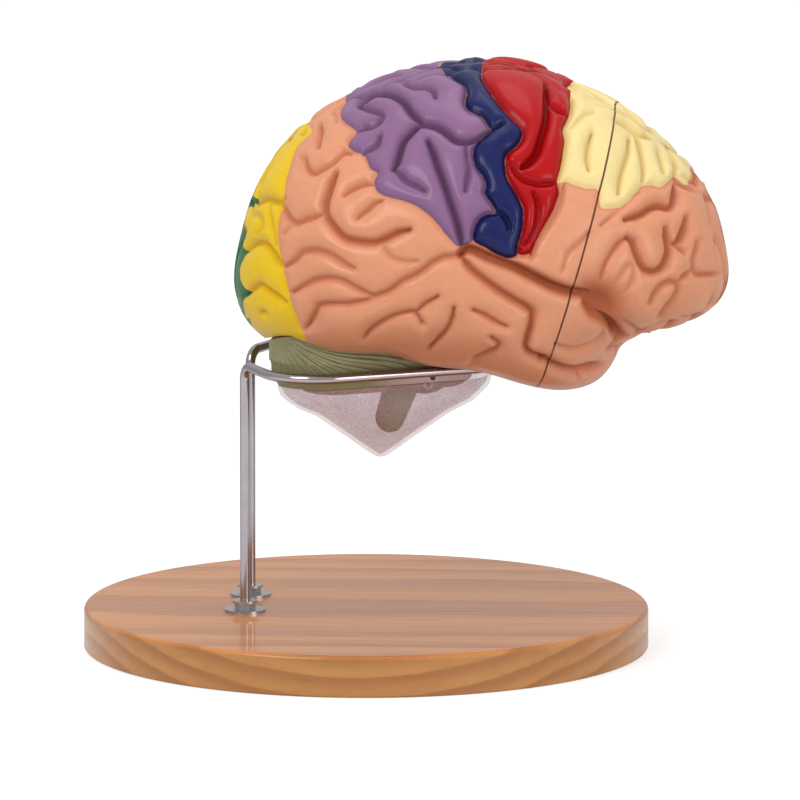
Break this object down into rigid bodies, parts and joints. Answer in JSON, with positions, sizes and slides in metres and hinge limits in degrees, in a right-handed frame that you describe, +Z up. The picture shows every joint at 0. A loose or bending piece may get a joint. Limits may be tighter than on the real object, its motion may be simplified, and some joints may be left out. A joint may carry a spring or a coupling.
{
  "type": "brain anatomy model",
  "caption": "Enlarged brain model with coloured cortex areas, in take-apart pieces, carried by a bent wire ring stand on a round wooden base.",
  "frame": {"origin": "centre of the underside of the round base", "axes": "+Z up, +X towards the front of the brain, -Y towards the right hemisphere"},
  "size_m": [0.3937, 0.345, 0.3618],
  "materials": {
    "varnished_wood": "gloss varnish",
    "chromed_rod": "polished",
    "plated_fasteners": "bright plated",
    "painted_cortex": "hand painted and varnished",
    "olive_plastic": "satin paint",
    "pink_cup": "semi-gloss",
    "peg_plastic": "moulded"
  },
  "bodies": {
    "stand_and_rear": {"base_board": "varnished_wood", "support_wire": "chromed_rod", "upper_washers": "plated_fasteners", "upper_flange_nuts": "plated_fasteners", "lower_washers": "plated_fasteners", "lower_nuts": "plated_fasteners", "support_cup": "pink_cup", "cerebellum": "olive_plastic", "brainstem": "olive_plastic", "midline_pegs": "peg_plastic", "right_seam_pegs": "peg_plastic", "right_rear_cortex": "painted_cortex"},
    "right_front": {"right_front_cortex": "painted_cortex"},
    "left_rear": {"left_rear_cortex": "painted_cortex", "left_seam_pegs": "peg_plastic"},
    "left_front": {"left_front_cortex": "painted_cortex"}
  },
  "joints": [
    {"name": "right_front_pull", "type": "slide", "parent": "stand_and_rear", "child": "right_front", "axis": [0.9588, 0, -0.284], "range_m": [0, 0.1]},
    {"name": "left_rear_pull", "type": "slide", "parent": "stand_and_rear", "child": "left_rear", "axis": [0, 1, 0], "range_m": [0, 0.13]},
    {"name": "left_front_pull", "type": "slide", "parent": "left_rear", "child": "left_front", "axis": [0.9588, 0, -0.284], "range_m": [0, 0.1]}
  ]
}
